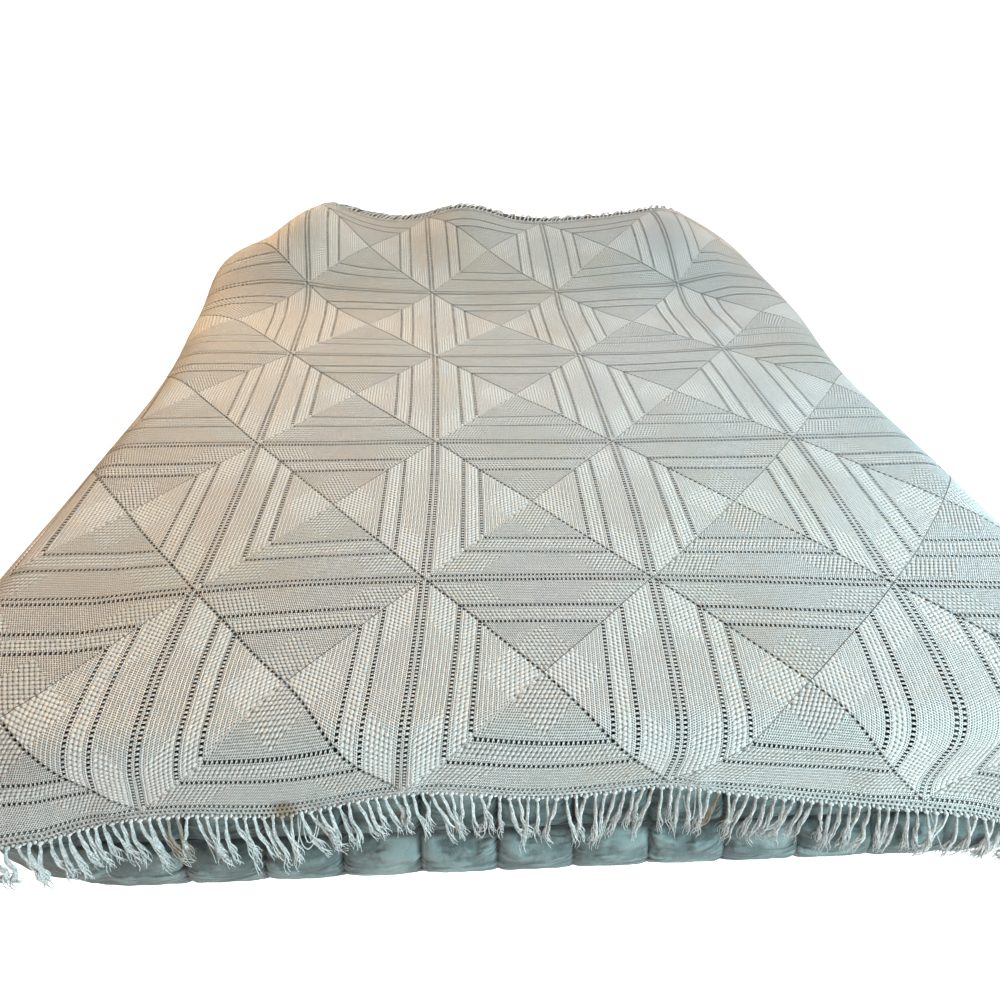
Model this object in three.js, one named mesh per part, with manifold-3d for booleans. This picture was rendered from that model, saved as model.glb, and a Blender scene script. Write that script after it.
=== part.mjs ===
// A crochet blanket of 25 worked squares with a knotted fringe at its foot and head,
// lying over the rounded top of a plain bed in a box-quilted cover.
// Millimetres, +Z up, +Y towards the head of the bed, +X to the right seen from its foot.

import * as THREE from 'three';
import Module from 'manifold-3d';

const wasm = await Module();
wasm.setup();

// Blanket
const COLUMNS = 5;
const ROWS = 5;
const SQUARE = { across: 410, along: 430 };
const CLOTH_THICKNESS = 2.5;
const POPCORN_CROWN = 1.4;
const SEAM_GAP = 0.3;

// Fringe: a crocheted edging along the hem with one knotted strand after another
const EDGING_WIDTH = 15;
const EDGING_THICKNESS = 3.2;
const STRANDS_PER_SIDE = 138;
const STRAND_LENGTH = { foot: 68, head: 68 };
const STRAND_RADIUS = { root: 1.2, middle: 2.7, tip: 1.5 };
const STRAND_ROOT_DEPTH = 5;
const STRAND_LENGTH_VARIES = 0.14;
const STRAND_SWEEP = { reach: 7, turnPerStrand: 0.31, stray: 2.2, atMiddle: 0.45 };
const STRAND_STANDS_OFF = { middle: 1.4, tip: 1, varies: 1 };
const STRAND_AHEAD = 2;

// Bed: the flat part of its top, and how high that top lies over the floor
const BED_HEIGHT = 312;
const BED_TOP = { halfWidth: 870, foot: 117, head: 2160, round: 250 };
const BED_MIDDLE = 975;

// The bed's flanks: slope in degrees after each run over the edge of the flat top
const FLANKS = {
  side: [
    { run: 0, slope: 0 },
    { run: 131, slope: 64 },
    { run: 230, slope: 80 },
    { run: 300, slope: 92 },
    { run: 400, slope: 98 },
  ],
  foot: [
    { run: 0, slope: 0 },
    { run: 74, slope: 77 },
    { run: 130, slope: 77 },
    { run: 165, slope: 50 },
    { run: 225, slope: 50 },
    { run: 265, slope: 90 },
    { run: 295, slope: 112 },
  ],
  corner: [
    { run: 0, slope: 0 },
    { run: 110, slope: 45 },
    { run: 300, slope: 48 },
    { run: 400, slope: 90 },
    { run: 470, slope: 98 },
  ],
  head: [
    { run: 0, slope: 0 },
    { run: 80, slope: 90 },
  ],
};
const FLANK_STEP = 2;
const FLANK_REACH = 700;
const NORMAL_REACH = 1.5;

// The made-up head end rises towards its two sleeping places, with softer lumps on it
const HEAD_RISE = { height: 150, start: 1450, end: 2050, innerHalf: 620, outerHalf: 960 };
const LUMPS = [
  { across: -706, along: 2010, reachAcross: 180, reachAlong: 300, height: 51 },
  { across: -134, along: 1995, reachAcross: 155, reachAlong: 190, height: 54 },
  { across: 588, along: 2010, reachAcross: 190, reachAlong: 300, height: 10 },
  { across: -890, along: 1861, reachAcross: 260, reachAlong: 162, height: 78 },
  { across: 890, along: 1999, reachAcross: 210, reachAlong: 330, height: 66 },
  { across: -640, along: 1640, reachAcross: 150, reachAlong: 170, height: -15 },
  { across: 640, along: 1640, reachAcross: 150, reachAlong: 170, height: -22 },
];
const LUMP_FADE_DROP = 220;

// Just past the head fringe the rise falls away, along a line that bows towards the corners
const HEAD_FALL = { along: 2063, bow: 37.5, length: 80, share: 0.6 };

// The lumps also push the cloth outwards at the bed's sides
const BULGES = [
  { side: -1, along: 1703, reach: 420, out: 90 },
  { side: 1, along: 1559, reach: 293, out: 59 },
];
const BULGE_FADE = { innerHalf: 830, outerHalf: 960, startDrop: 120, endDrop: 312 };

// How the cloth was laid by hand: shifts that grow with powers of the distance, in squares,
// from the blanket's middle
const LIE = [
  { acrossPower: 0, alongPower: 1, across: -17, along: -2 },
  { acrossPower: 1, alongPower: 0, across: 2, along: -5 },
  { acrossPower: 1, alongPower: 1, across: 11, along: 4 },
  { acrossPower: 2, alongPower: 0, across: 5.5, along: 8 },
  { acrossPower: 0, alongPower: 2, across: -7, along: 3 },
  { acrossPower: 2, alongPower: 1, across: -1, along: 11.8 },
  { acrossPower: 1, alongPower: 2, across: -1.4, along: 0 },
  { acrossPower: 3, alongPower: 0, across: 2, along: 1.8 },
  { acrossPower: 0, alongPower: 3, across: 1.6, along: -5.5 },
];
const LIE_REACH = 1.9;

// The foot hem hangs in uneven waves: how far it comes down at some columns, fading up the first row
const HEM_WAVES = [
  { column: -2.1, reach: 0.3, comesDown: -16 },
  { column: -0.95, reach: 0.36, comesDown: 30 },
  { column: 0.02, reach: 0.34, comesDown: 24 },
  { column: 0.5, reach: 0.16, comesDown: -8 },
  { column: 1, reach: 0.5, comesDown: 8 },
];
const HEM_WAVE_ROWS = 0.5;

// Near the foot corners the cloth is tucked inwards
const TUCKS = [
  { side: -1, inward: 15, row: 0.29, reach: 0.23 },
  { side: 1, inward: 19, row: 0.26, reach: 0.33 },
];
const TUCK_COLUMNS = { start: 0.6, end: 1.4 };

// Clearance of the cloth over the bed, small where it lies flat and wider over edges and lumps
const CLEAR_FLAT = 0.4;
const CLEAR_EDGE = 13;
const CLEAR_FADE = { before: -40, after: 20, headStart: 1040, headEnd: 1180 };

// Box quilting: puffs between sewn lines that are drawn in
const PUFF = { across: 114, shift: -15, along: 152, drop: 108, firstDrop: 50, depth: 11 };

// Under the cloth's hanging corners the bed's foot corners are rounded off
const CORNER_ROUNDING = { depth: 110, startDrop: 90, endDrop: 230 };

const COLOURS = { ecru: 0xd9d3c6, fringe: 0xdcd6c9, sage: 0x8c9a92 };

const clamp = THREE.MathUtils.clamp;
const smooth = (from, to, value) => THREE.MathUtils.smoothstep(value, from, to);
const mix = THREE.MathUtils.lerp;

// A repeatable uneven value from -1 to 1
function uneven(index, kind) {
  const wave = Math.sin(index * 12.9898 + kind * 78.233) * 43758.5453;
  return 2 * (wave - Math.floor(wave)) - 1;
}

// Sums a flank's slopes into how far out and how far down each run reaches
function sumFlank(rows) {
  const outward = [0];
  const downward = [0];
  for (let run = 0; run < FLANK_REACH; run += FLANK_STEP) {
    const middle = run + FLANK_STEP / 2;
    const next = rows.findIndex((row) => row.run > middle);
    const last = rows[rows.length - 1];
    let slope = last.slope;
    if (next > 0) {
      const share = (middle - rows[next - 1].run) / (rows[next].run - rows[next - 1].run);
      slope = mix(rows[next - 1].slope, rows[next].slope, share);
    }
    const angle = THREE.MathUtils.degToRad(slope);
    outward.push(outward[outward.length - 1] + FLANK_STEP * Math.cos(angle));
    downward.push(downward[downward.length - 1] + FLANK_STEP * Math.sin(angle));
  }
  return { outward, downward };
}

const flanks = {};
for (const name of Object.keys(FLANKS)) {
  flanks[name] = sumFlank(FLANKS[name]);
}

function readFlank(name, run) {
  const place = clamp(run / FLANK_STEP, 0, FLANK_REACH / FLANK_STEP - 1);
  const low = Math.floor(place);
  const { outward, downward } = flanks[name];
  return {
    out: mix(outward[low], outward[low + 1], place - low),
    drop: mix(downward[low], downward[low + 1], place - low),
  };
}

// How far a direction away from the bed's core points at one of the foot corners
function cornerShare(endShare, headward) {
  return headward ? 0 : 4 * endShare * (1 - endShare);
}

// How far out and down the flank is after a run, in a direction away from the bed's core
function flankAt(run, endShare, headward) {
  const side = readFlank('side', run);
  const end = readFlank(headward ? 'head' : 'foot', run);
  const corner = readFlank('corner', run);
  const share = cornerShare(endShare, headward);
  const blend = (key) => mix(mix(side[key], end[key], endShare), corner[key], share);
  return { out: blend('out'), drop: blend('drop') };
}

// The nearest core point, direction and run over the edge for a point of the flat cloth plane
function locate(across, along) {
  const headward = along > (BED_TOP.foot + BED_TOP.head) / 2;
  const { halfWidth, foot, head, round } = BED_TOP;
  const coreX = clamp(across, round - halfWidth, halfWidth - round);
  const coreY = clamp(along, foot + round, head - round);
  const away = new THREE.Vector2(across - coreX, along - coreY);
  const distance = away.length();
  const direction = distance > 0 ? away.divideScalar(distance) : away;
  return { headward, coreX, coreY, direction, run: distance - round };
}

function headLift(x, y) {
  const rise = smooth(HEAD_RISE.start, HEAD_RISE.end, y);
  const fade = 1 - smooth(HEAD_RISE.innerHalf, HEAD_RISE.outerHalf, Math.abs(x));
  let lift = HEAD_RISE.height * rise * fade;
  for (const lump of LUMPS) {
    const farAcross = (x - lump.across) / lump.reachAcross;
    const farAlong = (y - lump.along) / lump.reachAlong;
    lift += lump.height * Math.exp(-farAcross * farAcross - farAlong * farAlong);
  }
  const fallStart = HEAD_FALL.along + HEAD_FALL.bow * (x / SQUARE.across) ** 2;
  return lift * (1 - HEAD_FALL.share * smooth(fallStart, fallStart + HEAD_FALL.length, y));
}

function sideBulge(x, y, drop) {
  const above = 1 - smooth(BULGE_FADE.startDrop, BULGE_FADE.endDrop, drop);
  let push = 0;
  for (const bulge of BULGES) {
    const far = (y - bulge.along) / bulge.reach;
    const atSide = smooth(BULGE_FADE.innerHalf, BULGE_FADE.outerHalf, bulge.side * x);
    push += bulge.side * bulge.out * Math.exp(-far * far) * atSide;
  }
  return push * above;
}

// The skin of the made-up bed: where a point of the flat cloth plane comes to lie on it
function skin(across, along) {
  const { headward, coreX, coreY, direction, run } = locate(across, along);
  let x = across;
  let y = along;
  let drop = 0;
  if (run > 0) {
    const flank = flankAt(run, direction.y * direction.y, headward);
    x = coreX + direction.x * (BED_TOP.round + flank.out);
    y = coreY + direction.y * (BED_TOP.round + flank.out);
    drop = flank.drop;
  }
  const lift = headLift(x, y) * (1 - smooth(0, LUMP_FADE_DROP, drop));
  return new THREE.Vector3(x + sideBulge(x, y, drop), y, BED_HEIGHT - drop + lift);
}

function skinNormal(across, along) {
  const alongX = skin(across + NORMAL_REACH, along).sub(skin(across - NORMAL_REACH, along));
  const alongY = skin(across, along + NORMAL_REACH).sub(skin(across, along - NORMAL_REACH));
  return alongX.cross(alongY).normalize();
}

// Where a stitch of the cloth lies: columns count from the middle, rows from the foot hem
function clothPlane(column, row) {
  const a = clamp(column, -LIE_REACH, LIE_REACH);
  const b = clamp(row, 0, ROWS) - ROWS / 2;
  let across = column * SQUARE.across;
  let along = BED_MIDDLE + (row - ROWS / 2) * SQUARE.along;
  for (const term of LIE) {
    const weight = a ** term.acrossPower * b ** term.alongPower;
    across += term.across * weight;
    along += term.along * weight;
  }
  const nearHem = 1 - smooth(0, HEM_WAVE_ROWS, row);
  for (const wave of HEM_WAVES) {
    const far = (column - wave.column) / wave.reach;
    along -= wave.comesDown * nearHem * Math.exp(-far * far);
  }
  for (const tuck of TUCKS) {
    const far = (row - tuck.row) / tuck.reach;
    const atSide = smooth(TUCK_COLUMNS.start, TUCK_COLUMNS.end, tuck.side * column);
    across -= tuck.side * tuck.inward * atSide * Math.exp(-far * far);
  }
  return { across, along };
}

function cloth(column, row, height) {
  const { across, along } = clothPlane(column, row);
  return skin(across, along).addScaledVector(skinNormal(across, along), height);
}

// Closed bodies from grids of points

function solidFrom(vertices, triangles) {
  const geometry = new THREE.BufferGeometry();
  const positions = new Float32Array(vertices.length * 3);
  vertices.forEach((vertex, index) => vertex.toArray(positions, index * 3));
  geometry.setAttribute('position', new THREE.BufferAttribute(positions, 3));
  geometry.setIndex(triangles);
  geometry.computeVertexNormals();
  return geometry;
}

// A sheet between an upper and a lower grid of points, each indexed [line across][line along]
function sheetBetween(upper, lower) {
  const linesAcross = upper.length;
  const linesAlong = upper[0].length;
  const vertices = [...upper.flat(), ...lower.flat()];
  const top = (i, j) => i * linesAlong + j;
  const under = (i, j) => linesAcross * linesAlong + top(i, j);
  const triangles = [];
  const quad = (a, b, c, d) => triangles.push(a, b, c, a, c, d);
  for (let i = 0; i + 1 < linesAcross; i += 1) {
    for (let j = 0; j + 1 < linesAlong; j += 1) {
      quad(top(i, j), top(i + 1, j), top(i + 1, j + 1), top(i, j + 1));
      quad(under(i, j), under(i, j + 1), under(i + 1, j + 1), under(i + 1, j));
    }
  }
  const rim = [];
  for (let i = 0; i + 1 < linesAcross; i += 1) rim.push([i, 0]);
  for (let j = 0; j + 1 < linesAlong; j += 1) rim.push([linesAcross - 1, j]);
  for (let i = linesAcross - 1; i > 0; i -= 1) rim.push([i, linesAlong - 1]);
  for (let j = linesAlong - 1; j > 0; j -= 1) rim.push([0, j]);
  rim.forEach((from, index) => {
    const to = rim[(index + 1) % rim.length];
    quad(under(...from), under(...to), top(...to), top(...from));
  });
  return solidFrom(vertices, triangles);
}

// Worked squares

const FLAT_CELLS = 6;
const HEAD_ROW_CELLS = 7;
const FLAT_BEFORE_SHOULDER = 3;
const SIDE_SHOULDER_CELLS = 5;
const FOOT_SHOULDER_STEPS = [0, 0.2, 0.4, 0.52, 0.64, 0.76, 0.88, 1];

const CROSSING_TURNS = 30;

const evenSteps = (count) => Array.from({ length: count + 1 }, (_, index) => index / count);

// Share of a span at which a rising test value crosses zero
function crossing(test) {
  let low = 0;
  let high = 1;
  for (let turn = 0; turn < CROSSING_TURNS; turn += 1) {
    const middle = (low + high) / 2;
    if (test(middle) < 0) low = middle;
    else high = middle;
  }
  return (low + high) / 2;
}

// Lines across one column, closer together where the cloth bends over the bed's side
function linesAcross(column, row) {
  const left = column - 0.5;
  if (Math.abs(column) < 2) {
    return evenSteps(FLAT_CELLS).map((share) => left + share);
  }
  const outward = Math.sign(column);
  const inner = column - 0.5 * outward;
  const over = (share) => Math.abs(clothPlane(inner + share * outward, row).across);
  const edge = crossing((share) => over(share) - BED_TOP.halfWidth);
  const flat = evenSteps(FLAT_BEFORE_SHOULDER).map((share) => share * edge);
  const bent = evenSteps(SIDE_SHOULDER_CELLS).slice(1).map((share) => edge + share * (1 - edge));
  const lines = [...flat, ...bent].map((share) => inner + share * outward);
  return outward > 0 ? lines : lines.reverse();
}

// Lines along one row, closer together where the cloth bends over the bed's foot
function linesAlong(row, column) {
  if (row > 0) {
    const cells = row === ROWS - 1 ? HEAD_ROW_CELLS : FLAT_CELLS;
    return evenSteps(cells).map((share) => row + share);
  }
  const edge = crossing((share) => clothPlane(column, share).along - BED_TOP.foot);
  const bent = FOOT_SHOULDER_STEPS.map((share) => share * edge);
  const flat = evenSteps(FLAT_BEFORE_SHOULDER).slice(1).map((share) => edge + share * (1 - edge));
  return [...bent, ...flat];
}

// Height of the popcorn diamond in the middle of each square
function popcornRise(share, otherShare) {
  const far = Math.abs(2 * share - 1) + Math.abs(2 * otherShare - 1);
  return POPCORN_CROWN * Math.max(0, 1 - far);
}

function workedSquare(columnIndex, rowIndex) {
  const column = columnIndex - (COLUMNS - 1) / 2;
  const inset = { across: SEAM_GAP / 2 / SQUARE.across, along: SEAM_GAP / 2 / SQUARE.along };
  const upper = [];
  const lower = [];
  const count = linesAcross(column, rowIndex).length;
  for (let i = 0; i < count; i += 1) {
    upper.push([]);
    lower.push([]);
    const nominal = linesAcross(column, rowIndex + 0.5)[i];
    const rows = linesAlong(rowIndex, nominal);
    rows.forEach((rowLine) => {
      const columnLine = linesAcross(column, rowLine)[i];
      const u = clamp(columnLine, column - 0.5 + inset.across, column + 0.5 - inset.across);
      const v = clamp(rowLine, rowIndex + inset.along, rowIndex + 1 - inset.along);
      const rise = popcornRise(columnLine - column + 0.5, rowLine - rowIndex);
      upper[i].push(cloth(u, v, CLOTH_THICKNESS + rise));
      lower[i].push(cloth(u, v, 0));
    });
  }
  return sheetBetween(upper, lower);
}

// Fringe

// A limp strand of three sides through its stations, ending in a point
function strandBody(stations) {
  const vertices = [];
  const triangles = [];
  const rings = stations.length - 1;
  for (let ring = 0; ring < rings; ring += 1) {
    const { centre, sideways, upwards, radius } = stations[ring];
    for (let corner = 0; corner < 3; corner += 1) {
      const angle = Math.PI / 2 + (corner * 2 * Math.PI) / 3;
      vertices.push(
        centre
          .clone()
          .addScaledVector(sideways, radius * Math.cos(angle))
          .addScaledVector(upwards, radius * Math.sin(angle)),
      );
    }
  }
  const tip = vertices.length;
  vertices.push(stations[rings].centre);
  triangles.push(0, 1, 2);
  for (let ring = 0; ring < rings; ring += 1) {
    for (let corner = 0; corner < 3; corner += 1) {
      const next = (corner + 1) % 3;
      const a = ring * 3 + corner;
      const b = ring * 3 + next;
      if (ring + 1 === rings) {
        triangles.push(a, tip, b);
      } else {
        triangles.push(a, a + 3, b + 3, a, b + 3, b);
      }
    }
  }
  return solidFrom(vertices, triangles);
}

function toManifold(geometry) {
  return new wasm.Manifold(
    new wasm.Mesh({
      numProp: 3,
      vertProperties: geometry.getAttribute('position').array,
      triVerts: Uint32Array.from(geometry.index.array),
    }),
  );
}

function fromManifold(solid) {
  const mesh = solid.getMesh();
  const geometry = new THREE.BufferGeometry();
  const positions = Float32Array.from(mesh.vertProperties);
  geometry.setAttribute('position', new THREE.BufferAttribute(positions, 3));
  geometry.setIndex(Array.from(mesh.triVerts));
  geometry.computeVertexNormals();
  return geometry;
}

// A frame for a strand's cross-section at some distance beyond the hem
function strandStation(column, row, outward, height, radius) {
  const centre = cloth(column, row, height);
  const { across, along } = clothPlane(column, row);
  const upwards = skinNormal(across, along);
  const nextRow = row + (outward * STRAND_AHEAD) / SQUARE.along;
  const ahead = cloth(column, nextRow, height).sub(centre).normalize();
  const sideways = new THREE.Vector3().crossVectors(ahead, upwards).normalize();
  return { centre, sideways, upwards, radius };
}

// A point in the middle of the edging's thickness, on the straight stretch between two of its lines
function edgingMiddle(lines, column, row) {
  const next = lines.findIndex((line) => line >= column);
  const share = (column - lines[next - 1]) / (lines[next] - lines[next - 1]);
  const from = cloth(lines[next - 1], row, EDGING_THICKNESS / 2);
  return from.lerp(cloth(lines[next], row, EDGING_THICKNESS / 2), share);
}

function fringe(end) {
  const hemRow = end === 'foot' ? 0 : ROWS;
  const outward = end === 'foot' ? -1 : 1;
  const rowAt = (beyond) => hemRow + (outward * beyond) / SQUARE.along;
  const rowLines = [rowAt(SEAM_GAP), rowAt(EDGING_WIDTH)].sort((a, b) => a - b);
  const columnLines = [];
  for (let index = 0; index < COLUMNS; index += 1) {
    const lines = linesAcross(index - (COLUMNS - 1) / 2, hemRow);
    columnLines.push(...(index > 0 ? lines.slice(1) : lines));
  }
  const upper = columnLines.map((column) => rowLines.map((row) => cloth(column, row, EDGING_THICKNESS)));
  const lower = columnLines.map((column) => rowLines.map((row) => cloth(column, row, 0)));
  let body = toManifold(sheetBetween(upper, lower));
  const pitch = COLUMNS / STRANDS_PER_SIDE;
  for (let index = 0; index < STRANDS_PER_SIDE; index += 1) {
    const column = -COLUMNS / 2 + (index + 0.5) * pitch;
    const length = STRAND_LENGTH[end] * (1 + STRAND_LENGTH_VARIES * uneven(index, 1));
    const sweep = STRAND_SWEEP.reach * Math.sin(index * STRAND_SWEEP.turnPerStrand);
    const lean = (sweep + STRAND_SWEEP.stray * uneven(index, 2)) / SQUARE.across;
    const rootRow = rowAt(EDGING_WIDTH - STRAND_ROOT_DEPTH);
    const middleRow = rowAt(EDGING_WIDTH + length / 2);
    const standsOff = STRAND_STANDS_OFF.middle + STRAND_STANDS_OFF.varies * uneven(index, 3);
    const middleHeight = STRAND_RADIUS.middle + standsOff;
    const middleColumn = column + STRAND_SWEEP.atMiddle * lean;
    const tipHeight = STRAND_RADIUS.tip + STRAND_STANDS_OFF.tip;
    const tipRow = rowAt(EDGING_WIDTH + length);
    const stations = [
      strandStation(column, rootRow, outward, EDGING_THICKNESS / 2, STRAND_RADIUS.root),
      strandStation(middleColumn, middleRow, outward, middleHeight, STRAND_RADIUS.middle),
      strandStation(column + lean, tipRow, outward, tipHeight, STRAND_RADIUS.tip),
    ];
    stations[0].centre = edgingMiddle(columnLines, column, rootRow);
    body = body.add(toManifold(strandBody(stations)));
  }
  return fromManifold(body);
}

// Bed in its quilted cover

const BED_CORE_CELLS = { across: 16, along: 18 };
const RIM_TOLERANCE = 1e-6;
const FLANK_SHARES = {
  long: [0.2, 0.38, 0.42, 0.46, 0.5, 0.54, 0.58, 0.62, 0.67, 0.73, 0.79, 0.85, 0.92, 1],
  head: [0.22, 0.26, 0.32, 0.4, 0.44, 0.48, 0.53, 0.7, 1],
};

// The run at which the flank meets the floor in a direction from the core
function runToFloor(endShare, headward) {
  const dropAt = (share) => flankAt(share * FLANK_REACH, endShare, headward).drop;
  return FLANK_REACH * crossing((share) => dropAt(share) - BED_HEIGHT);
}

// Signed steps over one axis of the bed: -1..0 over the near flank, 0..1 the core, 1..2 the far one
function bedSteps(coreCells, nearShares, farShares) {
  const near = [...nearShares].reverse().map((share) => -share);
  const core = evenSteps(coreCells);
  const far = farShares.map((share) => 1 + share);
  return [...near, ...core, ...far];
}

// Sewn lines draw the cover in, between puffs counted along the flank and down it
function quiltedDepth(sideways, drop, pitch) {
  const acrossSeam = Math.abs(Math.cos((Math.PI * sideways) / pitch));
  const downSeam = Math.abs(Math.sin((Math.PI * (drop - PUFF.firstDrop)) / PUFF.drop));
  return PUFF.depth * (1 - Math.min(acrossSeam, downSeam));
}

function bedPoint(stepAcross, stepAlong) {
  const headward = stepAlong > 0.5;
  const { round } = BED_TOP;
  const coreHalf = BED_TOP.halfWidth - round;
  const coreFoot = BED_TOP.foot + round;
  const coreHead = BED_TOP.head - round;
  const coreX = mix(-coreHalf, coreHalf, clamp(stepAcross, 0, 1));
  const coreY = mix(coreFoot, coreHead, clamp(stepAlong, 0, 1));
  const past = (step) => step - clamp(step, 0, 1);
  const squareX = past(stepAcross);
  const squareY = past(stepAlong);
  const discX = squareX * Math.sqrt(1 - (squareY * squareY) / 2);
  const discY = squareY * Math.sqrt(1 - (squareX * squareX) / 2);
  const outward = new THREE.Vector3(discX, discY, 0);
  const share = Math.min(1, outward.length());
  outward.normalize();
  const endShare = outward.y * outward.y;
  const reach = round + runToFloor(endShare, headward);
  const across = coreX + discX * reach;
  const along = coreY + discY * reach;
  const point = skin(across, along);
  const run = share * reach - round;
  const drop = BED_HEIGHT - point.z;
  const rounding = smooth(CORNER_ROUNDING.startDrop, CORNER_ROUNDING.endDrop, drop);
  point.addScaledVector(outward, -CORNER_ROUNDING.depth * rounding * cornerShare(endShare, headward));
  const nearEdge = smooth(CLEAR_FADE.before, CLEAR_FADE.after, run);
  const nearHead = smooth(CLEAR_FADE.headStart, CLEAR_FADE.headEnd, along);
  let inward = mix(CLEAR_FLAT, CLEAR_EDGE, Math.max(nearEdge, nearHead));
  if (drop > PUFF.firstDrop / 2 && !(headward && endShare > 0.5)) {
    const onEnd = endShare > 0.5;
    const sideways = onEnd ? point.x - PUFF.shift : point.y - coreFoot;
    inward += quiltedDepth(sideways, drop, onEnd ? PUFF.across : PUFF.along);
  }
  if (share > 1 - RIM_TOLERANCE) {
    point.z = 0;
    return point;
  }
  point.addScaledVector(skinNormal(across, along), -inward);
  return point;
}

function quiltedBed() {
  const acrossSteps = bedSteps(BED_CORE_CELLS.across, FLANK_SHARES.long, FLANK_SHARES.long);
  const alongSteps = bedSteps(BED_CORE_CELLS.along, FLANK_SHARES.long, FLANK_SHARES.head);
  const wide = acrossSteps.length;
  const long = alongSteps.length;
  const vertices = [];
  for (const stepAcross of acrossSteps) {
    for (const stepAlong of alongSteps) {
      vertices.push(bedPoint(stepAcross, stepAlong));
    }
  }
  const at = (i, j) => i * long + j;
  const triangles = [];
  for (let i = 0; i + 1 < wide; i += 1) {
    for (let j = 0; j + 1 < long; j += 1) {
      triangles.push(at(i, j), at(i + 1, j), at(i + 1, j + 1));
      triangles.push(at(i, j), at(i + 1, j + 1), at(i, j + 1));
    }
  }
  const rim = [];
  for (let i = 0; i + 1 < wide; i += 1) rim.push(at(i, 0));
  for (let j = 0; j + 1 < long; j += 1) rim.push(at(wide - 1, j));
  for (let i = wide - 1; i > 0; i -= 1) rim.push(at(i, long - 1));
  for (let j = long - 1; j > 0; j -= 1) rim.push(at(0, j));
  const floorMiddle = vertices.length;
  vertices.push(new THREE.Vector3(0, (BED_TOP.foot + BED_TOP.head) / 2, 0));
  rim.forEach((from, index) => {
    triangles.push(floorMiddle, rim[(index + 1) % rim.length], from);
  });
  return solidFrom(vertices, triangles);
}

// Assembly

const materials = {
  crochet: new THREE.MeshStandardMaterial({ color: COLOURS.ecru, roughness: 0.95, metalness: 0 }),
  fringe: new THREE.MeshStandardMaterial({ color: COLOURS.fringe, roughness: 0.95, metalness: 0 }),
  cover: new THREE.MeshStandardMaterial({ color: COLOURS.sage, roughness: 0.85, metalness: 0 }),
};

const blanketOnBed = new THREE.Group();

function place(name, geometry, material) {
  const mesh = new THREE.Mesh(geometry, material);
  mesh.name = name;
  blanketOnBed.add(mesh);
}

place('bed', quiltedBed(), materials.cover);
for (let row = 0; row < ROWS; row += 1) {
  for (let column = 0; column < COLUMNS; column += 1) {
    place(`square_r${row + 1}_c${column + 1}`, workedSquare(column, row), materials.crochet);
  }
}
place('fringe_foot', fringe('foot'), materials.fringe);
place('fringe_head', fringe('head'), materials.fringe);

// The origin is the middle of the floor under the whole part
const extent = new THREE.Box3().setFromObject(blanketOnBed);
const middle = extent.getCenter(new THREE.Vector3());
blanketOnBed.position.set(-middle.x, -middle.y, 0);

export default blanketOnBed;
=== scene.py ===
# %% [markdown]
# A crochet blanket lies over a made-up bed. It is twenty-five squares, each worked in the round from
# its middle, joined edge to edge, with a knotted fringe along the foot and the head.
# The imported model gives the place of every piece. It is loaded first, and its box is kept.

# %% Load the frame
import math

import bmesh
import bpy
import numpy as np
from mathutils import Matrix, Vector


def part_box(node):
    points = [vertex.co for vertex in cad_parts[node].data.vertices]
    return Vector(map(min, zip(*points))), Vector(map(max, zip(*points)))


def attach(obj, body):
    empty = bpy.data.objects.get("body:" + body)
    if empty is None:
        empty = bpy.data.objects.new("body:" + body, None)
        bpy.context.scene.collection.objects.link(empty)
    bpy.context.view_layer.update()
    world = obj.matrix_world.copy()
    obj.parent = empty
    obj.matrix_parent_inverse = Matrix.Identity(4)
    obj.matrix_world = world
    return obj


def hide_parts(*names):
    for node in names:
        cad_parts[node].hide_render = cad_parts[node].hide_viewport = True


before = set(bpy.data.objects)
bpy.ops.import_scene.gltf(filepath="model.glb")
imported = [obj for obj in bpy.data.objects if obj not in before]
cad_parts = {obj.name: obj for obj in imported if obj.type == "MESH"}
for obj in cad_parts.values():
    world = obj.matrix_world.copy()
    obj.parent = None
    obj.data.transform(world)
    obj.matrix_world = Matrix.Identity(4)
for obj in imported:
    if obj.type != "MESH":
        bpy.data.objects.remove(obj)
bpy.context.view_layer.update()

# %% [markdown]
# Cloth takes the shape of what it lies on. The bed's skin is a flat top with rounded flanks: each
# flank is a short table of slopes, in degrees, after a run over the top's edge in millimetres. Adding
# up small steps along those slopes gives how far out and how far down a point of the cloth comes to
# lie. A cloth simulation could find such a shape too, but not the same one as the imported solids.

# %% The bed's flanks
MM = 0.001
SQUARE_ACROSS, SQUARE_ALONG = 410.0, 430.0
BED_HEIGHT = 312.0
TOP_HALF_WIDTH, TOP_FOOT, TOP_HEAD, TOP_ROUND = 870.0, 117.0, 2160.0, 250.0
FLANK_SLOPES = {
    "side": [(0, 0), (131, 64), (230, 80), (300, 92), (400, 98)],
    "foot": [(0, 0), (74, 77), (130, 77), (165, 50), (225, 50), (265, 90), (295, 112)],
    "corner": [(0, 0), (110, 45), (300, 48), (400, 90), (470, 98)],
    "head": [(0, 0), (80, 90)],
}
FLANK_STEP, FLANK_REACH = 2.0, 700.0
RUNS = np.arange(0, FLANK_REACH + FLANK_STEP, FLANK_STEP)


def add_up(slopes):
    """How far out and how far down a flank is after each of the runs."""
    run, slope = zip(*slopes)
    angle = np.radians(np.interp(RUNS + FLANK_STEP / 2, run, slope))
    outward = np.r_[0, np.cumsum(np.cos(angle) * FLANK_STEP)][:-1]
    downward = np.r_[0, np.cumsum(np.sin(angle) * FLANK_STEP)][:-1]
    return outward, downward


FLANKS = {name: add_up(slopes) for name, slopes in FLANK_SLOPES.items()}


def smooth(low, high, value):
    """Rises softly from 0 at low to 1 at high."""
    t = np.clip((value - low) / (high - low), 0, 1)
    return t * t * (3 - 2 * t)


def corner_share(end_share, headward):
    """1 in the middle of a corner at the foot, and 0 on straight flanks and at the head."""
    return np.where(headward, 0, 4 * end_share * (1 - end_share))


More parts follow.
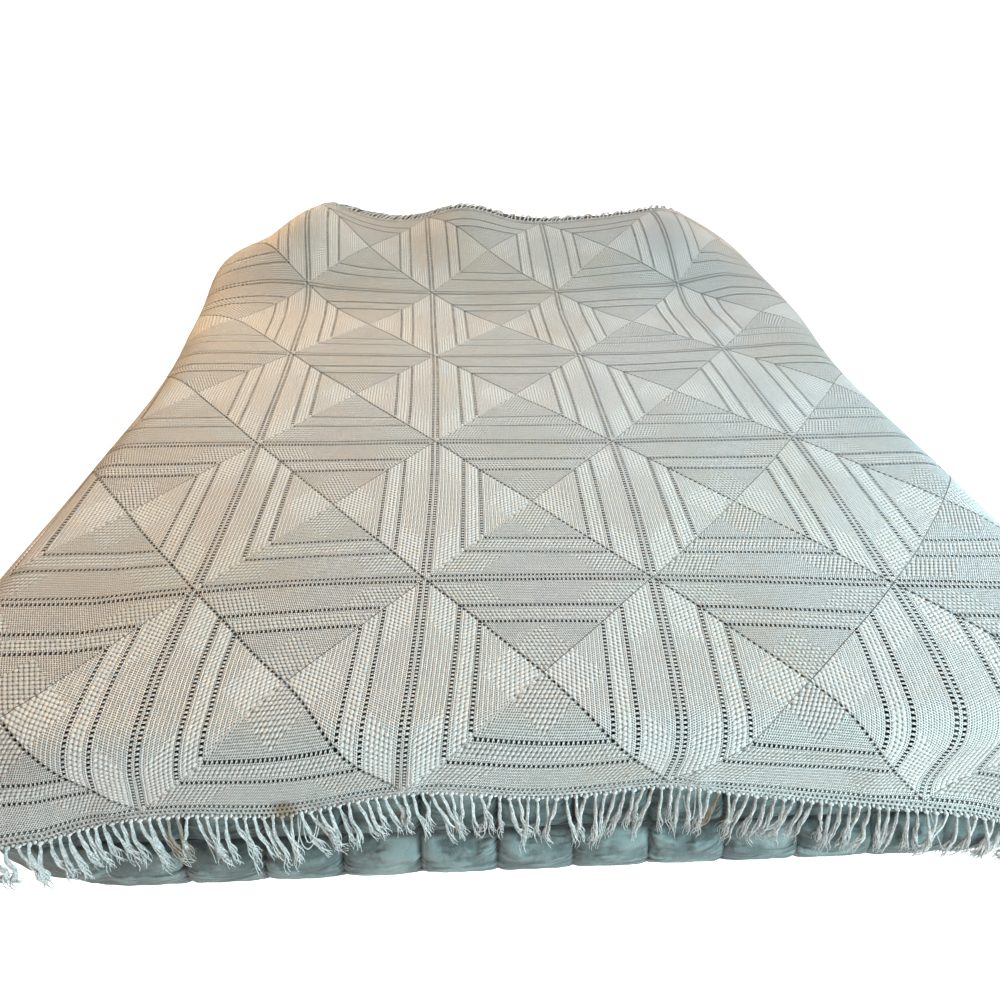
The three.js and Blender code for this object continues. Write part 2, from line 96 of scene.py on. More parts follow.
def flank_at(run, end_share, headward):
    """Reach outwards and drop after a run, in a direction between the bed's sides and ends."""
    found = []
    for axis in (0, 1):
        side, foot, corner, head = (np.interp(run, RUNS, flank[axis]) for flank in FLANKS.values())
        straight = side + (np.where(headward, head, foot) - side) * end_share
        found.append(straight + (corner - straight) * corner_share(end_share, headward))
    return found


print("foot flank reaches", round(FLANKS["foot"][0].max()), "mm out")

# %% [markdown]
# The head end is made up higher over the two sleeping places, with softer lumps on it. Points on the
# flat cloth plane are moved onto this skin, and a point above it goes out along the skin's normal.

# %% The made-up skin
RISE_HEIGHT, RISE_ALONG, RISE_ACROSS = 150.0, (1450.0, 2050.0), (620.0, 960.0)
LUMPS = [  # across, along, reach across, reach along, height
    (-706, 2010, 180, 300, 51),
    (-134, 1995, 155, 190, 54),
    (588, 2010, 190, 300, 10),
    (-890, 1861, 260, 162, 78),
    (890, 1999, 210, 330, 66),
    (-640, 1640, 150, 170, -15),
    (640, 1640, 150, 170, -22),
]
LUMP_FADE_DROP = 220.0
FALL_ALONG, FALL_BOW, FALL_LENGTH, FALL_SHARE = 2063.0, 37.5, 80.0, 0.6
BULGES = [(-1, 1703, 420, 90), (1, 1559, 293, 59)]  # side, along, reach, outwards
BULGE_ACROSS, BULGE_DROP = (830.0, 960.0), (120.0, 312.0)
NORMAL_REACH = 1.5


def head_lift(x, y):
    lift = RISE_HEIGHT * smooth(*RISE_ALONG, y) * (1 - smooth(*RISE_ACROSS, np.abs(x)))
    for across, along, reach_across, reach_along, height in LUMPS:
        lift = lift + height * np.exp(-((x - across) / reach_across) ** 2 - ((y - along) / reach_along) ** 2)
    fall_start = FALL_ALONG + FALL_BOW * (x / SQUARE_ACROSS) ** 2
    return lift * (1 - FALL_SHARE * smooth(fall_start, fall_start + FALL_LENGTH, y))


def side_bulge(x, y, drop):
    """How far the lumps push the cloth outwards at the bed's sides."""
    push = np.zeros_like(x)
    for side, along, reach, outwards in BULGES:
        near = np.exp(-(((y - along) / reach) ** 2))
        push = push + side * outwards * near * smooth(*BULGE_ACROSS, side * x)
    return push * (1 - smooth(*BULGE_DROP, drop))


def skin(across, along):
    """Where points of the flat cloth plane lie on the made-up bed, in millimetres."""
    headward = along > (TOP_FOOT + TOP_HEAD) / 2
    core_x = np.clip(across, TOP_ROUND - TOP_HALF_WIDTH, TOP_HALF_WIDTH - TOP_ROUND)
    core_y = np.clip(along, TOP_FOOT + TOP_ROUND, TOP_HEAD - TOP_ROUND)
    away_x, away_y = across - core_x, along - core_y
    distance = np.maximum(np.hypot(away_x, away_y), 1e-9)
    run = distance - TOP_ROUND
    outward, drop = flank_at(np.maximum(run, 0), (away_y / distance) ** 2, headward)
    reach = np.where(run > 0, (TOP_ROUND + outward) / distance, 1)
    x, y = core_x + away_x * reach, core_y + away_y * reach
    lift = head_lift(x, y) * (1 - smooth(0, LUMP_FADE_DROP, drop))
    return np.stack([x + side_bulge(x, y, drop), y, BED_HEIGHT - drop + lift], -1)


def skin_normal(across, along):
    step_x = skin(across + NORMAL_REACH, along) - skin(across - NORMAL_REACH, along)
    step_y = skin(across, along + NORMAL_REACH) - skin(across, along - NORMAL_REACH)
    normal = np.cross(step_x, step_y)
    return normal / np.linalg.norm(normal, axis=-1, keepdims=True)


print("head rise", round(float(head_lift(np.float64(0), np.float64(2100)))), "mm")

# %% [markdown]
# The blanket was laid by hand, so its rows aren't quite straight: they shift by amounts that grow with
# the distance, in squares, from its middle, and the foot hem hangs in uneven waves. Columns count from
# the middle of the blanket and rows from the foot hem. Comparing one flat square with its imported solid
# gives the step from these bed coordinates to the frame.

# %% The lie of the cloth
ROWS = COLUMNS = 5
BED_MIDDLE = 975.0
LIE = [  # power across, power along, shift across, shift along
    (0, 1, -17, -2),
    (1, 0, 2, -5),
    (1, 1, 11, 4),
    (2, 0, 5.5, 8),
    (0, 2, -7, 3),
    (2, 1, -1, 11.8),
    (1, 2, -1.4, 0),
    (3, 0, 2, 1.8),
    (0, 3, 1.6, -5.5),
]
LIE_REACH = 1.9
HEM_WAVES = [(-2.1, 0.3, -16), (-0.95, 0.36, 30), (0.02, 0.34, 24), (0.5, 0.16, -8), (1, 0.5, 8)]
HEM_WAVE_ROWS = 0.5
TUCKS = [(-1, 15, 0.29, 0.23), (1, 19, 0.26, 0.33)]  # side, inwards, row, reach in rows
TUCK_COLUMNS = (0.6, 1.4)


def cloth_plane(column, row):
    a = np.clip(column, -LIE_REACH, LIE_REACH)
    b = np.clip(row, 0, ROWS) - ROWS / 2
    across = column * SQUARE_ACROSS
    along = BED_MIDDLE + (row - ROWS / 2) * SQUARE_ALONG
    for power_across, power_along, shift_across, shift_along in LIE:
        weight = a**power_across * b**power_along
        across = across + shift_across * weight
        along = along + shift_along * weight
    at_hem = 1 - smooth(0, HEM_WAVE_ROWS, row)
    for place, reach, comes_down in HEM_WAVES:
        along = along - comes_down * at_hem * np.exp(-(((column - place) / reach) ** 2))
    for side, inwards, place, reach in TUCKS:
        near_foot = np.exp(-(((row - place) / reach) ** 2))
        across = across - side * inwards * smooth(*TUCK_COLUMNS, side * column) * near_foot
    return across, along


def over_bed(column, row, height):
    """Points of the cloth in bed coordinates, in millimetres, at a height over the skin."""
    across, along = cloth_plane(column, row)
    return skin(across, along) + skin_normal(across, along) * np.asarray(height)[..., None]


SOLID_CELLS, SEAM_GAP = 6, 0.3
solid_lines = np.linspace(-0.5, 0.5, SOLID_CELLS + 1)


def within_gap(size):
    """Grid lines of a packed square, drawn in at its edges by half the gap."""
    edge = 0.5 - SEAM_GAP / 2 / size
    return np.clip(solid_lines, -edge, edge)


line_across = within_gap(SQUARE_ACROSS)
line_along = ROWS / 2 + within_gap(SQUARE_ALONG)
middle_square = over_bed(*np.meshgrid(line_across, line_along), np.float64(0)).reshape(-1, 3).min(0) * MM
TO_FRAME = np.array(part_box("square_r3_c3")[0]) - middle_square
TO_FRAME[2] = 0

UNEVEN_MM = 1.6
UNEVEN_WAVES = [(7.1, 2.3, 0.4), (-3.7, 8.3, 2.0), (12.9, -5.1, 3.7), (4.3, 14.7, 5.1)]


def cloth(column, row, height):
    """Points of the cloth in the frame, in metres. Hand work pulls its rows a little out of line."""
    pull = np.array([np.sin(a * column + b * row + start) for a, b, start in UNEVEN_WAVES]) * UNEVEN_MM / 2
    across = column + (pull[0] + pull[2]) / SQUARE_ACROSS
    along = row + (pull[1] + pull[3]) / SQUARE_ALONG
    return over_bed(across, along, height) * MM + TO_FRAME


print("bed to frame", TO_FRAME.round(4))

# %% [markdown]
# Yarn, stitches and quilting repeat evenly, so their finishes are sums of waves and noise. Node graphs
# for such sums grow long, so one small class wraps a socket: arithmetic on it adds Math nodes, and its
# node method adds any other node.

# %% Shader arithmetic


class Fibre:
    """A shader socket. Python arithmetic on it adds Math nodes to its material."""

    def __init__(self, tree, socket=None):
        self.tree = tree
        self.socket = socket

    def node(self, kind, inputs, output=0, **settings):
        """Adds a node: its settings first, then the values or links of its sockets."""
        made = self.tree.nodes.new(kind)
        for name, value in settings.items():
            setattr(made, name, value)
        for name, value in inputs.items():
            if isinstance(value, Fibre):
                self.tree.links.new(value.socket, made.inputs[name])
            else:
                made.inputs[name].default_value = value
        return Fibre(self.tree, made.outputs[output])

    def math(self, operation, *values):
        return self.node("ShaderNodeMath", dict(enumerate(values)), operation=operation)

    def blend(self, low, high):
        """The colour low where this value is 0, and high where it is 1."""
        return self.node("ShaderNodeMix", {0: self, 6: low, 7: high}, output=2, data_type="RGBA")

    def rise(self, low, high):
        """Rises softly from 0 at low to 1 at high."""
        ends = {"Value": self, "From Min": low, "From Max": high}
        return self.node("ShaderNodeMapRange", ends, interpolation_type="SMOOTHSTEP")

    def part(self, axis):
        """One part of this vector, counted from 0."""
        return self.node("ShaderNodeSeparateXYZ", {0: self}, output=axis)

    def attribute(self, name):
        """A value that the mesh carries."""
        return self.node("ShaderNodeAttribute", {}, output="Fac", attribute_name=name)

    def near(self, point, inner, outer):
        """1 within inner metres of a point and 0 from outer metres on, over this vector."""
        away = self.node("ShaderNodeVectorMath", {0: self, 1: point}, output="Value", operation="DISTANCE")
        return 1 - away.rise(inner, outer)

    def noise(self, scale, detail=2.0, roughness=0.5):
        """Noise from 0 to 1 over this vector."""
        inputs = {"Vector": self, "Scale": scale, "Detail": detail, "Roughness": roughness}
        return self.node("ShaderNodeTexNoise", inputs)

    def __add__(self, other):
        return self.math("ADD", self, other)

    def __sub__(self, other):
        return self.math("SUBTRACT", self, other)

    def __rsub__(self, other):
        return self.math("SUBTRACT", other, self)

    def __mul__(self, other):
        return self.math("MULTIPLY", self, other)

    def __abs__(self):
        return self.math("ABSOLUTE", self)

    __radd__ = __add__
    __rmul__ = __mul__


def new_finish(name, roughness, sheen):
    """A matt cloth material: its Principled node and a Fibre to add nodes with."""
    material = bpy.data.materials.new(name)
    material.use_nodes = True
    shader = material.node_tree.nodes["Principled BSDF"]
    shader.inputs["Roughness"].default_value = roughness
    shader.inputs["Specular IOR Level"].default_value = 0.25
    shader.inputs["Sheen Weight"].default_value = sheen
    shader.inputs["Sheen Roughness"].default_value = 0.5
    return material, shader, Fibre(material.node_tree)


def finish_with(fibre, shader, colour, height, distance, strength):
    """Links a colour and a bump height to the shader."""
    bump = fibre.node("ShaderNodeBump", {"Height": height, "Distance": distance, "Strength": strength})
    fibre.tree.links.new(colour.socket, shader.inputs["Base Color"])
    fibre.tree.links.new(bump.socket, shader.inputs["Normal"])


print("shader arithmetic ready")

# %% [markdown]
# Each square is worked in rounds. Counted in cells of about 3.7 mm from its middle to its edge, there
# are 56: the rounds of eyelets are cells 28, 38 and 54. The finish needs the same count, so the square
# carries a flat UV map, and the larger of the two distances from the middle is the round.
# Stitches of one cell lean along each round, with painted shade in the small pits between them, which
# take less light. Where the mesh is marked as popcorns, staggered bobbles two cells apart take the place
# of the stitches, with a painted highlight on each and painted shade around it. The colour also follows
# the mesh's own relief as painted shade, so that low places are darker than high ones.
# The side triangles are painted a little lighter, as painted light: ribs along the bed catch more light
# than ribs across it. One diagonal is a row of small dashes taken out, with painted shade beside them.
# The other is a thin line raised on one half, with painted shade of a groove on the other half and a
# painted highlight on the raised one, or painted shade on both halves in the squares at the head and on
# the right. Old cotton is unevenly yellowed, and there is one small stain at the foot hem.

# %% Crochet cotton
CELLS = 112
HALF_CELLS = CELLS // 2
ECRU = (0.84, 0.83, 0.80, 1)
ECRU_DEEP = (0.20, 0.195, 0.18, 1)
ECRU_AGED = (0.58, 0.50, 0.38, 1)
STAIN = (0.30, 0.20, 0.14, 1)
STAIN_PLACE = tuple(cloth(np.float64(-0.95), np.float64(-0.01), np.float64(0)))
STITCH_LEAN, BOBBLE_LEAN = 0.5, 0.5
# Painted light: how much lighter the side triangles are painted.
SIDE_PAINTED_LIGHT = 0.16
# Painted highlight and painted shade of the diagonal line, and painted shade of the dashes.
LINE_HIGHLIGHT, LINE_SHADE, DASH_SHADE = 0.2, 0.9, 0.8


def crochet_cotton():
    material, shader, fibre = new_finish("crochet_cotton", roughness=0.92, sheen=0.15)
    flat = fibre.node("ShaderNodeUVMap", {}, uv_map="stitches")
    p = (flat.part(0) - 0.5) * CELLS
    q = (flat.part(1) - 0.5) * CELLS
    onto_side = p.math("GREATER_THAN", abs(p), abs(q))
    round_count = p.math("MAXIMUM", abs(p), abs(q))
    along_round = p + (q - p) * onto_side
    between_stitches = p.math("COSINE", (along_round + round_count * STITCH_LEAN) * math.tau) * 0.5 + 0.5
    between_rows = p.math("COSINE", round_count * math.tau) * 0.5 + 0.5
    # Painted shade: the pits between stitches are darker.
    stitches = 1 - between_stitches * between_rows * 1.5 - between_stitches * 0.15
    popcorn_row = p.math("FLOOR", round_count * 0.5)
    off_row = round_count - popcorn_row * 2 - 1
    off_bobble = p.math("PINGPONG", along_round + popcorn_row + off_row * BOBBLE_LEAN, 1.0)
    # Painted highlight on each bobble and painted shade around it.
    bobbles = (1 - off_bobble * off_bobble * 1.4 - off_row * off_row * 1.3).rise(-1.3, 0.6)
    popcorn = fibre.attribute("popcorn")
    relief = stitches + (bobbles - stitches) * popcorn
    # Painted shade: low places of the mesh's relief are darker.
    relief_shade = fibre.attribute("relief").rise(-0.9, 1.5)
    place = fibre.node("ShaderNodeTexCoord", {}, output="Object")
    yarn = place.noise(330.0, detail=4.0, roughness=0.65)
    # Painted light on the thin diagonal line: painted shade of the groove on one half, a painted highlight on
    # the raised half, and painted shade on both halves in the squares at the head and on the right.
    groove_shade_mask = p.math("MAXIMUM", p.math("GREATER_THAN", p, 0.0), fibre.attribute("groove_shaded") * 0.8)
    line = 1 - abs(p - q).rise(0.2, 1.0)
    # Painted shade beside the dashes taken out of the leading diagonal.
    dash = p.math("COSINE", (round_count - 0.5) * math.pi) * 0.5 + 0.5
    dashes = (1 - abs(p + q).rise(0.4, 1.3)) * dash
    light = relief * 0.6 - popcorn * 0.1 + relief_shade * 0.08 + (yarn - 0.5) * 1.2 + onto_side * SIDE_PAINTED_LIGHT - 0.06
    marked = light + line * (LINE_HIGHLIGHT - groove_shade_mask * LINE_SHADE) - dashes * DASH_SHADE
    # ECRU_DEEP is the darker yarn and also the painted shade of pits, gaps, grooves and slits.
    cotton = marked.rise(-0.15, 0.75).blend(ECRU_DEEP, ECRU)
    age = place.noise(2.3, detail=4.0, roughness=0.6).rise(0.5, 0.75) * 0.4
    aged = age.blend(cotton, ECRU_AGED)
    stained = (place.near(STAIN_PLACE, 0.008, 0.026) * 0.8).blend(aged, STAIN)
    finish_with(fibre, shader, stained, relief + yarn * 0.6, distance=0.0012, strength=0.8)
    return material


crochet_finish = crochet_cotton()
print("crochet finish has", len(crochet_finish.node_tree.nodes), "nodes")

# %% [markdown]
# One square is modelled flat and used twenty-five times. A grid with one cell for each stitch is the
# natural start: eyelets are cells that are taken out, ribs are raised grid lines, and a popcorn stitch
# is a raised point among low ones. Bump alone would show neither holes nor popcorns from
# the side. Its faces stay flat-shaded: ribs one cell apart would even out if normals were smoothed.

# %% A worked square, flat
EYELET_ROUNDS = (28, 38, 54)
POPCORN_REACH = 26
BOBBLE_ROWS = (31, 35)
BAR_ROWS, BAR_WIDTH = (41, 51), 23
RIB_RISE, EDGE_RISE = 0.75, 0.9
POPCORN_RISE = 1.25
EYELET_OPENS, SIDE_OPENS = 0.2, 0.3
SLIT_CLOSES = 0.6
GROOVE_DEPTH, RIDGE_RISE = 0.8, 0.9


def around(p, q):
    """The round that a point lies in, how far along the round it is, and on which of four sides."""
    on_side = np.abs(p) > np.abs(q)
    reach = np.where(on_side, np.abs(p), np.abs(q))
    along = np.where(on_side, q * np.sign(p), -p * np.sign(q))
    side = np.where(on_side, np.where(p > 0, 1, 3), np.where(q > 0, 2, 0))
    return reach, along, side


def popcorn_place(p, q, reach, along):
    """Whether popcorns are worked at a point: the diamond, the bobble band and the corner bars."""
    diamond = np.abs(p) + np.abs(q) <= POPCORN_REACH
    band = (reach >= BOBBLE_ROWS[0]) & (reach <= BOBBLE_ROWS[1])
    bars = (reach >= BAR_ROWS[0]) & (reach <= BAR_ROWS[1]) & (np.abs(along) >= reach - BAR_WIDTH)
    return diamond | band | bars


def worked_relief(p, q):
    """Height in millimetres of the grid points of a square."""
    reach, along, _ = around(p, q)
    height = RIB_RISE * (reach % 2)
    peak = (reach % 2 == 1) & ((along + reach // 2) % 2 == 0)
    height = np.where(popcorn_place(p, q, reach, along), np.where(peak, POPCORN_RISE, 0), height)
    height = np.where(np.abs(p) == np.abs(q), -GROOVE_DEPTH, height)
    height = np.where((p == q) & (p < 0), RIDGE_RISE, height)
    return np.where(reach == HALF_CELLS, EDGE_RISE, height)


def taken_out(face):
    """Whether a cell of the grid is an eyelet, a dash of the leading diagonal or a slit of the other."""
    centre = face.calc_center_median()
    p, q = centre.x * CELLS, centre.y * CELLS
    reach, along, side = (float(value) for value in around(np.float64(p), np.float64(q)))
    turn = math.floor(reach)
    if abs(abs(p) - abs(q)) < 0.1:
        return turn % 2 == 0 and turn > 1 and (p * q < 0 or p > 0)
    parity = 1 if side in (0, 3) else 0
    return turn in EYELET_ROUNDS and abs(along) < turn - 1 and math.floor(along) % 2 == parity


def flat_square():
    shape = bmesh.new()
    bmesh.ops.create_grid(shape, x_segments=CELLS, y_segments=CELLS, size=0.5)
    stitches = shape.loops.layers.uv.new("stitches")
    for face in shape.faces:
        for corner in face.loops:
            corner[stitches].uv = corner.vert.co.xy + Vector((0.5, 0.5))
    holes = [face for face in shape.faces if taken_out(face)]
    bmesh.ops.delete(shape, geom=holes, context="FACES")
    mesh = bpy.data.meshes.new("worked_square")
    shape.to_mesh(mesh)
    shape.free()
    return mesh, len(holes)


def points_of(mesh):
    found = np.empty(len(mesh.vertices) * 3, np.float32)
    mesh.vertices.foreach_get("co", found)
    return found.reshape(-1, 3).astype(float)


def mark(mesh, name, values):
    """Gives the points of a mesh values that its finish reads."""
    mesh.attributes.new(name, "FLOAT", "POINT").data.foreach_set("value", np.asarray(values, np.float32))


square_mesh, hole_count = flat_square()
flat_points = points_of(square_mesh)
grid_p, grid_q = np.rint(flat_points[:, :2] * CELLS).T
square_relief = worked_relief(grid_p, grid_q)
off_diagonals = np.abs(grid_p) != np.abs(grid_q)
square_popcorn = popcorn_place(grid_p, grid_q, *around(grid_p, grid_q)[:2]) & off_diagonals
mark(square_mesh, "relief", square_relief)
mark(square_mesh, "popcorn", square_popcorn)
print("square", len(square_mesh.polygons), "faces,", hole_count, "eyelets and slits")

# %% [markdown]
# Cells that are taken out leave square holes. On the real cloth an eyelet is a little taller than wide,
# most of all in the side triangles, and a slit is narrow, so the grid lines beside them move.

# %% Eyelets and slits get their shape


def shaped_cells(p, q):
    """Grid points in cells, with the lines beside eyelets and slits moved."""
    reach, _, _ = around(p, q)
    opens = np.zeros_like(reach)
    for turn in EYELET_ROUNDS:
        widening = np.where(np.abs(p) == reach, SIDE_OPENS, EYELET_OPENS)
        opens = opens + widening * ((reach == turn + 1).astype(float) - (reach == turn))
    moved_p = p + np.where(np.abs(p) == reach, np.sign(p), 0) * opens
    moved_q = q + np.where(np.abs(q) == reach, np.sign(q), 0) * opens
    beside_slit = np.where(np.abs(p - q) == 1, (p - q) * SLIT_CLOSES / 2, 0)
    return moved_p - beside_slit, moved_q + beside_slit


shaped_p, shaped_q = shaped_cells(grid_p, grid_q)
print("largest move", round(float(np.abs(shaped_p - grid_p).max()), 2), "of a cell")

# %% [markdown]
# Crochet of this weight lies softly, so it has low swells a hand wide, and a few folds where the hem
# goes over the bed's foot. They are placed in the cloth's own rows and columns, so they run on from
# square to square. Each square is a copy of the flat one with its points carried over the bed.

# %% Twenty-five squares over the bed
CLOTH_BASE = 1.1
# Squares from this column on get painted shade on both halves of the diagonal line.
GROOVE_SHADE_COLUMN = 3
SWELL_HEIGHT = 1.3
SWELLS = [(1.7, 0.6, 0.3), (-0.8, 1.9, 2.1), (2.6, -1.4, 4.0), (1.1, 2.7, 5.2), (-2.9, 1.2, 1.4)]
FOLDS = [  # column, row, column step to the other end, row step, half width, height
    (-0.47, 0.0, 0.03, 0.34, 0.05, 5.0),
    (-1.62, 0.0, 0.10, 0.40, 0.07, 4.0),
    (0.62, 0.0, -0.05, 0.28, 0.05, 3.5),
    (1.30, 0.0, -0.02, 0.36, 0.07, 4.0),
]


def soft_swell(column, row):
    """Low uneven swells and hem folds, in millimetres."""
    height = np.zeros_like(column)
    for turns_across, turns_along, start in SWELLS:
        height = height + np.sin(math.tau * (turns_across * column + turns_along * row) / 2 + start)
    height = SWELL_HEIGHT * (1 + height / len(SWELLS))
    for place, start, step, length, half_width, rise in FOLDS:
        share = np.clip((row - start) / length, -1, 1)
        off = (column - place - step * share) / half_width
        height = height + rise * np.exp(-off * off) * (1 - smooth(0, 1, share))
    return height


def new_piece(name, mesh, finish, node):
    """Links a finished mesh as a piece that stands for a node of the frame."""
    mesh.materials.append(finish)
    piece = bpy.data.objects.new(name, mesh)
    bpy.context.scene.collection.objects.link(piece)
    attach(piece, "root")
    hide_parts(node)
    return piece


def lie_length(points):
    return float(np.linalg.norm(np.diff(points, axis=0), axis=1).sum())


def lay_square(row, column):
    name = f"crochet_square_r{row + 1}_c{column + 1}"
    place_across = column - (COLUMNS - 1) / 2 + shaped_p / CELLS
    place_along = row + 0.5 + shaped_q / CELLS
    height = CLOTH_BASE + square_relief + soft_swell(place_across, place_along)
    mesh = square_mesh.copy()
    mesh.vertices.foreach_set("co", cloth(place_across, place_along, height).astype(np.float32).ravel())
    mesh.update()
    # These squares get painted shade on both halves of the diagonal line.
    groove_shaded = float(row == ROWS - 1 or column >= GROOVE_SHADE_COLUMN)
    mark(mesh, "groove_shaded", np.full(len(height), groove_shaded))
    piece = new_piece(name, mesh, crochet_finish, f"square_r{row + 1}_c{column + 1}")
    half = np.linspace(-0.5, 0.5, CELLS + 1)
    middle = column - (COLUMNS - 1) / 2
    width = lie_length(cloth(middle + half, np.full_like(half, row + 0.5), np.zeros_like(half)))
    length = lie_length(cloth(np.full_like(half, middle), row + 0.5 + half, np.zeros_like(half)))
    return piece


squares = [lay_square(row, column) for row in range(ROWS) for column in range(COLUMNS)]
print(len(squares), "squares laid")

# %% [markdown]
# The fringe is yarn. Its finish is the same old cotton without stitches: fibres run unevenly, the hollows
# between plies are darker, and a few strands and one place at the hem are stained. The worked edging is
# greyer than the loose strands.

# %% Fringe cotton
YARN = (0.95, 0.945, 0.93, 1)
YARN_DEEP = (0.42, 0.41, 0.385, 1)
EDGING_TONE = 0.24
YARN_STAINED = (0.36, 0.26, 0.17, 1)


def fringe_cotton():
    material, shader, fibre = new_finish("fringe_cotton", roughness=0.95, sheen=0.2)
    place = fibre.node("ShaderNodeTexCoord", {}, output="Object")
    strands = place.noise(380.0, detail=4.0, roughness=0.6)
    patches = place.noise(60.0, detail=2.0)
    light = strands * 1.3 + patches * 0.5 - 0.43 - fibre.attribute("worked_edge") * EDGING_TONE
    yarn = light.rise(0.05, 0.75).blend(YARN_DEEP, YARN)
    stain = fibre.attribute("stain") + place.near(STAIN_PLACE, 0.008, 0.026) * 0.8
    finish_with(fibre, shader, stain.blend(yarn, YARN_STAINED), strands, distance=0.0006, strength=0.6)
    return material


fringe_finish = fringe_cotton()
print("fringe finish has", len(fringe_finish.node_tree.nodes), "nodes")

# %% [markdown]
# A narrow edging is crocheted onto the hem: five rows, two of them staggered eyelets, and a small
# scallop at each knot. It is a long grid with cells taken out, carried over the bed like the squares.

# %% Edging
EDGING_WIDTH, EDGING_RISE = 15.0, 1.3
EDGING_LINES = np.array([0, 2.0, 6.4, 8.4, 12.8, 15.0])
EDGING_RIDGES = np.array([0.2, 1.4, 0.4, 1.6, 0.4, 1.4])
EDGING_ROWS = len(EDGING_LINES) - 1
EDGING_EYELETS = {1: 0, 3: 1}
STRANDS_PER_SIDE = 138
SCALLOP_DEPTH = 2.0
ENDS = {"foot": (0, -1), "head": (ROWS, 1)}


def beyond_hem(end, millimetres):
    """The row at some distance past the hem of one end."""
    hem_row, outward = ENDS[end]
    return hem_row + outward * millimetres / SQUARE_ALONG


def edging(end):
    shape = bmesh.new()
    cells_along = COLUMNS * CELLS
    bmesh.ops.create_grid(shape, x_segments=cells_along, y_segments=EDGING_ROWS, size=0.5)
    holes = []
    for face in shape.faces:
        face.smooth = True
        centre = face.calc_center_median()
        cell_row = math.floor((0.5 + centre.y) * EDGING_ROWS)
        if EDGING_EYELETS.get(cell_row) == math.floor((0.5 + centre.x) * cells_along) % 2:
            holes.append(face)
    bmesh.ops.delete(shape, geom=holes, context="FACES")
    if end == "foot":
        bmesh.ops.reverse_faces(shape, faces=shape.faces)
    mesh = bpy.data.meshes.new(f"edging_{end}")
    shape.to_mesh(mesh)
    shape.free()
    flat = points_of(mesh)
    column = flat[:, 0] * COLUMNS
    line = np.rint((0.5 + flat[:, 1]) * EDGING_ROWS).astype(int)
    scallop = np.abs(np.cos(math.pi * STRANDS_PER_SIDE * (0.5 + flat[:, 0])))
    beyond = EDGING_LINES[line] - SCALLOP_DEPTH * scallop * (line == EDGING_ROWS)
    height = EDGING_RISE + EDGING_RIDGES[line]
    places = cloth(column, beyond_hem(end, beyond), height)
    mesh.vertices.foreach_set("co", places.astype(np.float32).ravel())
    mesh.update()
    mark(mesh, "worked_edge", np.ones(len(places)))
    return new_piece(f"edging_{end}", mesh, fringe_finish, f"fringe_{end}")


edgings = {end: edging(end) for end in ENDS}
print("edgings", [len(piece.data.polygons) for piece in edgings.values()], "faces")

# %% [markdown]
# Each strand of the fringe is a few soft threads, knotted into the edging and loosely twisted. Neighbours
# cling together in small bunches and spread at the tips. Those at the foot lean in towards the middle,
# and at the left corner they are matted. Those at the head lie over the edge, all to one side. A curve
# with a bevel for each thread would do, but hundreds of such objects are slow, so the paths of all
# threads are worked out together and tubes are built around them in one mesh for each end.

# %% Strands: where they hang
STRAND_LENGTH = 68.0
LENGTH_VARIES = 0.14
SWEEP, SWEEP_TURN = 5.0, 0.31
INWARD, INWARD_FROM = 30.0, 0.6
LEAN = {"foot": (2.0, 8.0), "head": (24.0, 7.0)}  # mean and spread of the lean to the right
STAND = {"foot": (2.6, 4.0), "head": (2.0, 0.8)}  # least and varying height over the skin
STAINED_COLUMNS = (-1.40, -1.365, 0.72)
MATTED_FROM, MATTED_TO = -1.7, -2.1
MATTED_SHORTER, MATTED_LEAN, MATTED_WAVE, MATTED_STAND = 0.25, 10.0, 6.0, 9.0
CLING, LEAN_CURVE = (0.5, 0.95), 1.35
WAVE_SIZE, WAVE_TURNS = (1.2, 5.5), (0.6, 1.7)
CRIMP_SIZE, CRIMP_TURNS = (0.4, 1.8), (2.2, 4.0)


def bunches(rng, count):
    """For each strand, the mean place of the small bunch that it clings to."""
    place = np.arange(count) + 0.5
    middle = np.empty(count)
    first = 0
    while first < count:
        last = min(count, first + int(rng.choice([1, 1, 2, 2, 3, 4])))
        middle[first:last] = place[first:last].mean()
        first = last
    return middle


def strand_paths(end, steps, rng):
    """Columns, distances past the hem and heights along all strands of one end."""
    count = STRANDS_PER_SIDE
    index = np.arange(count)
    pitch = COLUMNS / count
    column = -COLUMNS / 2 + (index + 0.5) * pitch
    matted = smooth(-MATTED_FROM, -MATTED_TO, -column) * (end == "foot")
    length = STRAND_LENGTH * (1 + LENGTH_VARIES * rng.uniform(-1, 1, count)) * (1 - MATTED_SHORTER * matted)
    cling = (bunches(rng, count) - index - 0.5) * pitch * SQUARE_ACROSS * rng.uniform(*CLING, count)
    lean = SWEEP * np.sin(index * SWEEP_TURN) + rng.normal(*LEAN[end], count) + MATTED_LEAN * matted
    if end == "foot":
        lean = lean - INWARD * np.tanh(column / INWARD_FROM)
    wave = rng.uniform(*WAVE_SIZE, count) + MATTED_WAVE * matted
    turns = rng.uniform(*WAVE_TURNS, count)
    start = rng.uniform(0, math.tau, count)
    stand = rng.uniform(0, STAND[end][1], count) + MATTED_STAND * matted
    share = np.linspace(0, 1, steps + 1)
    sway = np.sin(math.tau * turns[:, None] * share + start[:, None]) - np.sin(start[:, None])
    crimp_size = rng.uniform(*CRIMP_SIZE, (count, 1))
    crimp_turns = rng.uniform(*CRIMP_TURNS, (count, 1))
    crimp = crimp_size * np.sin(math.tau * crimp_turns * share + 3 * start[:, None])
    aside = (cling[:, None] + lean[:, None]) * share**LEAN_CURVE + (wave[:, None] * sway + crimp) * share
    past = EDGING_WIDTH - 2 + length[:, None] * share
    height = STAND[end][0] + 1.5 + stand[:, None] * np.sin(math.pi * share * 0.8)
    return column[:, None] + aside / SQUARE_ACROSS, past, height


